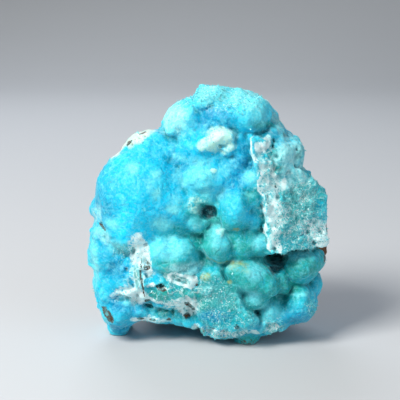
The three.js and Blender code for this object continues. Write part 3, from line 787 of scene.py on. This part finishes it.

# Hemimorphite, as it grew: a glassy, half clear blue stone, IOR about 1.62, with a skin of tiny
# crystals, and light goes into it. Its hollows are painted a deeper blue as shade, and its crests
# paler, partly as frost and partly as painted light.
# The crests' colour, paler than the rest: partly frost, partly painted light.
CREST = "#24C8E4"
CYAN = "#00BBE0"
# Painted shade: the deeper blue laid in the hollows.
HOLLOW_SHADE = "#007F8E"
PIGMENTS = [
    # where it is, its colour, and how far its edge is spread
    # painted light: the first; teal, blue and dark are partly painted shade
    ("painted_light", "#10D0F6", 0.9), ("teal", "#0F988F", 0.9), ("sea", "#1CA6A2", 0.9), ("blue", "#0097C4", 0.9),
    ("pale", "#6EDAE6", 0.9), ("mint", "#C2F1E6", 0.5), ("milk", "#9FE4E9", 0.6), ("cream", "#C8DACD", 0.5),
    ("white", "#E2F7F8", 0.4), ("grey", "#6FAFB2", 0.4), ("ochre", "#93AA78", 0.8), ("dark", "#023A44", 0.5),
    ("rust", "#4A2E16", 0.16),
]
VEIN = "#D6F1EE"
FROST = "#76DFEA"
# Painted glints: white flecks on the faces of the skin's tiny crystals, thick in the druse.
SPARK = "#E2FAF8"
SHADE = "#027682"
SHEEN = "#D8F6F8"
NOISES = [
    # mm between patches of deeper colour, grains of the skin and clouds of frost; detail, roughness
    ("mottle", 2.4, 5, 0.65),
    ("grain", 0.55, 3, 0.6),
    ("clouds", 1.7, 3, 0.6),
]
BEND_MM = 1.5                   # between the bends of a vein
STRAY_MM = 2.6                  # that it may stray there
VEIN_MM = 2.4                   # between the white veins of broken ground
NODULE_MM = 2.8                 # across a small nodule of the skin
NODULE_RISE_MM = 0.3
CELL_MM = 0.95                  # across the finer bumps on it
CELL_RISE_MM = 0.2
FLECK_MM = 0.32                 # across a crystal's face
GRAIN_RISE_MM = 0.2
MOTTLE_GAIN = 2.4               # how strongly mottling and grain break up a patch of colour
GRAIN_GAIN = 2
RANGES = {
    # a value, between which limits it counts, and what it becomes there
    "open": ("hollow", 0.36, 0.48, 0, 1),
    # painted shade: how enclosed a place is, for the deeper blue of the hollows
    "deep": ("hollow", 0.55, 0.75, 0, 1),
    "line": ("net", 0.09, 0.02, 0, 0.85),
    "vein patches": ("mottle", 0.42, 0.56, 0, 1),
    # partly painted light: convex places are made paler, as frost and as light
    "crest": ("crevice", 0.5, 0.34, 0, 1),
    "face frost": ("frosting", 0, 1, 0.1, 0.45),
    "cloud": ("clouds", 0.52, 0.7, 0, 0.55),
    "rim": ("nodules", 0.12, 0, 0, 1),
    "rim patches": ("mottle", 0.42, 0.6, 0, 0.4),
    "druse clouds": ("clouds", 0.38, 0.6, 0, 1),
    # painted glints on some of the crystal faces
    "glint": ("glinting", 0.78, 0.84, 0, 1),
    "sunk": ("crevice", 0.55, 0.75, 0, 0.75),
    "dull": ("dulling", 0.8, 0.9, 0, 0.14),
    "unbleached": ("white", 0.2, 0.6, 1, 0.2),
    "swell": ("nodules", 0, 0.25, 0, 1),
}
# Painted glints: the share of faces given one, outside the druse and within it.
STREWED = 0.05, 0.9             # the share of glinting faces outside the druse and within it
COMBINED = [
    # what two of them make together
    ("veined", "MULTIPLY", "broken", "vein patches"),
    ("vein", "MULTIPLY", "line", "veined"),
    ("frost and painted light on crests", "MULTIPLY", "crest", "face frost"),
    ("rim frost", "MULTIPLY", "rim", "rim patches"),
    ("raised frost", "MAXIMUM", "frost and painted light on crests", "cloud"),
    ("frost", "MAXIMUM", "raised frost", "rim frost"),
    ("spark", "MULTIPLY", "glint", "strewed"),
    ("sunk or dull", "MAXIMUM", "sunk", "dull"),
    ("shade", "MULTIPLY", "sunk or dull", "unbleached"),
]
hemimorphite, tree = new_material("grown_hemimorphite")
coords = add(tree, "ShaderNodeTexCoord").outputs["Object"]
values = {}
for name in (*SPOTS, "sugar", "broken", "crevice", "hollow"):
    values[name] = add(tree, "ShaderNodeAttribute", attribute_name=name).outputs["Fac"]
for name, spacing, detail, roughness in NOISES:
    values[name] = add(tree, "ShaderNodeTexNoise", {
        "Vector": coords, "Scale": 1 / (spacing * MM), "Detail": detail,
        "Roughness": roughness}).outputs["Fac"]
stray = add(tree, "ShaderNodeTexNoise", {"Vector": coords, "Scale": 1 / (BEND_MM * MM), "Detail": 3})
strayed = add(tree, "ShaderNodeVectorMath", {0: stray.outputs["Color"], 1: [STRAY_MM * MM] * 3, 2: coords},
              operation="MULTIPLY_ADD").outputs[0]
for name, spacing in (("net", VEIN_MM), ("nodules", NODULE_MM)):
    values[name] = add(tree, "ShaderNodeTexVoronoi", {"Vector": strayed, "Scale": 1 / (spacing * MM)},
                       feature="DISTANCE_TO_EDGE").outputs["Distance"]
cells = add(tree, "ShaderNodeTexVoronoi", {"Vector": coords, "Scale": 1 / (CELL_MM * MM)})
flecks = add(tree, "ShaderNodeTexVoronoi", {"Vector": coords, "Scale": 1 / (FLECK_MM * MM)})
fleck_draws = add(tree, "ShaderNodeSeparateColor", {"Color": flecks.outputs["Color"]})
values.update(zip(("frosting", "glinting", "dulling"), fleck_draws.outputs))
for name, (source, low, high, to_low, to_high) in RANGES.items():
    values[name] = add(tree, "ShaderNodeMapRange", {
        "Value": values[source], "From Min": low, "From Max": high, "To Min": to_low,
        "To Max": to_high}).outputs[0]
sugared = add(tree, "ShaderNodeMath", {0: values["sugar"], 1: values["druse clouds"]}, operation="MULTIPLY")
values["strewed"] = add(tree, "ShaderNodeMapRange", {
    "Value": sugared.outputs[0], "From Min": 0.15, "From Max": 0.8, "To Min": STREWED[0],
    "To Max": STREWED[1]}).outputs[0]
for name, operation, first, second in COMBINED:
    values[name] = add(tree, "ShaderNodeMath", {0: values[first], 1: values[second]},
                       operation=operation).outputs[0]
uneven = add(tree, "ShaderNodeMath", {0: values["mottle"], 1: MOTTLE_GAIN, 2: -MOTTLE_GAIN / 2},
             operation="MULTIPLY_ADD")
patches = add(tree, "ShaderNodeMath", {0: values["grain"], 1: GRAIN_GAIN, 2: uneven.outputs[0]},
              operation="MULTIPLY_ADD")
layers = [("open", CYAN), ("deep", HOLLOW_SHADE)]
for name, tint, spread in PIGMENTS:
    laid = add(tree, "ShaderNodeMath", {0: values[name], 1: patches.outputs[0]}, operation="MULTIPLY")
    values["laid " + name] = add(tree, "ShaderNodeMapRange", {
        "Value": laid.outputs[0], "From Min": 0.5 - spread / 2, "From Max": 0.5 + spread / 2}).outputs[0]
    layers.append(("laid " + name, tint))
layers += [("vein", VEIN), ("frost", FROST), ("spark", SPARK), ("shade", SHADE)]
colour = linear(CREST)
for name, tint in layers:
    colour = add(tree, "ShaderNodeMix", {"Factor": values[name], "A": colour, "B": linear(tint)},
                 data_type="RGBA").outputs["Result"]

cell_bump = add(tree, "ShaderNodeBump", {"Height": cells.outputs["Distance"], "Strength": 0.5,
                                         "Distance": -CELL_RISE_MM * MM})
nodule_bump = add(tree, "ShaderNodeBump", {"Height": values["swell"], "Strength": 0.5,
                                           "Distance": NODULE_RISE_MM * MM, "Normal": cell_bump.outputs[0]})
bump = add(tree, "ShaderNodeBump", {"Height": values["grain"], "Strength": 0.5,
                                    "Distance": GRAIN_RISE_MM * MM, "Normal": nodule_bump.outputs[0]})
shader = add(tree, "ShaderNodeBsdfPrincipled", {
    "Base Color": colour, "Roughness": 0.42, "IOR": 1.62, "Specular IOR Level": 0.15,
    "Subsurface Weight": 0.7, "Subsurface Radius": (0.8, 1.0, 1.0), "Subsurface Scale": 1.2 * MM,
    "Sheen Weight": 0.28, "Sheen Roughness": 0.25, "Sheen Tint": linear(SHEEN), "Normal": bump.outputs[0]})
add(tree, "ShaderNodeOutputMaterial", {"Surface": shader.outputs[0]})
crust_mesh.materials.append(hemimorphite)
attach(crust_piece, "root")
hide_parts("hemimorphite_crust")


# ------------------------------------------------------------------------------------------------
# The druse: small clear hemimorphite crystals that stand on the crust, thick in the bowl and on the
# slab's face and thin elsewhere. Each is a short prism with a blunt tip, rooted in the crust.

CRYSTAL_INPUTS = {
    "Length": 0.5 * MM,
    "Half Width": 0.14 * MM,
    "Druse Density": 4.5 / MM ** 2,     # 4.5 crystals to a square mm in the druse, 0.08 elsewhere
    "Bare Density": 0.08 / MM ** 2,
    "Tilt": 1.1,                        # how far a crystal may lean, in radians
}
CRYSTAL_SIDES = 5
CRYSTAL_TIP = 0.35              # how wide its tip is, in parts of its foot
CRYSTAL_GROWTH = 0.45, 1.15     # the size of the smallest and the largest, in parts of the above

# Hemimorphite in small clear crystals: glassy, IOR about 1.62, with the blue of the crust that they
# stand on and some light going through, so that each of them gives a small glint.
CLEAR_BLUE = "#68CCD2"
druse_material, tree = new_material("clear_hemimorphite")
shader = add(tree, "ShaderNodeBsdfPrincipled", {
    "Base Color": linear(CLEAR_BLUE), "Roughness": 0.15, "IOR": 1.62, "Subsurface Weight": 0.5,
    "Subsurface Radius": (0.8, 1.0, 1.0), "Subsurface Scale": 0.6 * MM})
add(tree, "ShaderNodeOutputMaterial", {"Surface": shader.outputs[0]})

strewing = bpy.data.node_groups.new("druse_on_skin", "GeometryNodeTree")
strewing.interface.new_socket("Skin", in_out="INPUT", socket_type="NodeSocketGeometry")
strewing.interface.new_socket("Crystals", in_out="OUTPUT", socket_type="NodeSocketGeometry")
sockets = {}
for name in CRYSTAL_INPUTS:
    sockets[name] = strewing.interface.new_socket(name, in_out="INPUT", socket_type="NodeSocketFloat")
given = add(strewing, "NodeGroupInput").outputs
sugar = add(strewing, "GeometryNodeInputNamedAttribute", {"Name": "sugar"}, data_type="FLOAT")
seat = add(strewing, "GeometryNodeInputNamedAttribute", {"Name": "seat"}, data_type="FLOAT")
density = add(strewing, "ShaderNodeMapRange", {
    "Value": sugar.outputs[0], "From Min": 0.2, "From Max": 0.8, "To Min": given["Bare Density"],
    "To Max": given["Druse Density"]})
seated = add(strewing, "ShaderNodeMath", {0: density.outputs[0], 1: seat.outputs[0]}, operation="MULTIPLY")
points = add(strewing, "GeometryNodeDistributePointsOnFaces", {
    "Mesh": given["Skin"], "Density": seated.outputs[0], "Seed": 80})
tip = add(strewing, "ShaderNodeMath", {0: given["Half Width"], 1: CRYSTAL_TIP}, operation="MULTIPLY")
prism = add(strewing, "GeometryNodeMeshCone", {
    "Vertices": CRYSTAL_SIDES, "Radius Top": tip.outputs[0], "Radius Bottom": given["Half Width"],
    "Depth": given["Length"]})
lean_most = add(strewing, "ShaderNodeCombineXYZ", {0: given["Tilt"], 1: given["Tilt"], 2: math.pi})
lean_least = add(strewing, "ShaderNodeVectorMath", {0: lean_most.outputs[0], "Scale": -1.0},
                 operation="SCALE")
leaning = add(strewing, "FunctionNodeRandomValue", {
    0: lean_least.outputs[0], 1: lean_most.outputs[0], "Seed": 81}, data_type="FLOAT_VECTOR")
turned = add(strewing, "FunctionNodeRotateRotation", {
    "Rotation": points.outputs["Rotation"], "Rotate By": leaning.outputs[0]}, rotation_space="LOCAL")
grown = add(strewing, "FunctionNodeRandomValue", {2: CRYSTAL_GROWTH[0], 3: CRYSTAL_GROWTH[1], "Seed": 82},
            data_type="FLOAT")
placed = add(strewing, "GeometryNodeInstanceOnPoints", {
    "Points": points.outputs["Points"], "Instance": prism.outputs["Mesh"], "Rotation": turned.outputs[0],
    "Scale": grown.outputs[1]})
real = add(strewing, "GeometryNodeRealizeInstances", {"Geometry": placed.outputs[0]})
finished = add(strewing, "GeometryNodeSetMaterial", {
    "Geometry": real.outputs[0], "Material": druse_material})
add(strewing, "NodeGroupOutput", {"Crystals": finished.outputs[0]})

carrier = bpy.data.objects.new("druse_carrier", crust_mesh.copy())
bpy.context.collection.objects.link(carrier)
growth = carrier.modifiers.new("druse", "NODES")
growth.node_group = strewing
for name, value in CRYSTAL_INPUTS.items():
    growth[sockets[name].identifier] = value
evaluated = carrier.evaluated_get(bpy.context.evaluated_depsgraph_get())
druse_mesh = bpy.data.meshes.new_from_object(evaluated)
carrier.modifiers.remove(growth)
bpy.data.objects.remove(carrier)
druse_mesh.name = "druse_crystals"
druse_piece = bpy.data.objects.new("druse_crystals", druse_mesh)
bpy.context.collection.objects.link(druse_piece)
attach(druse_piece, "root")
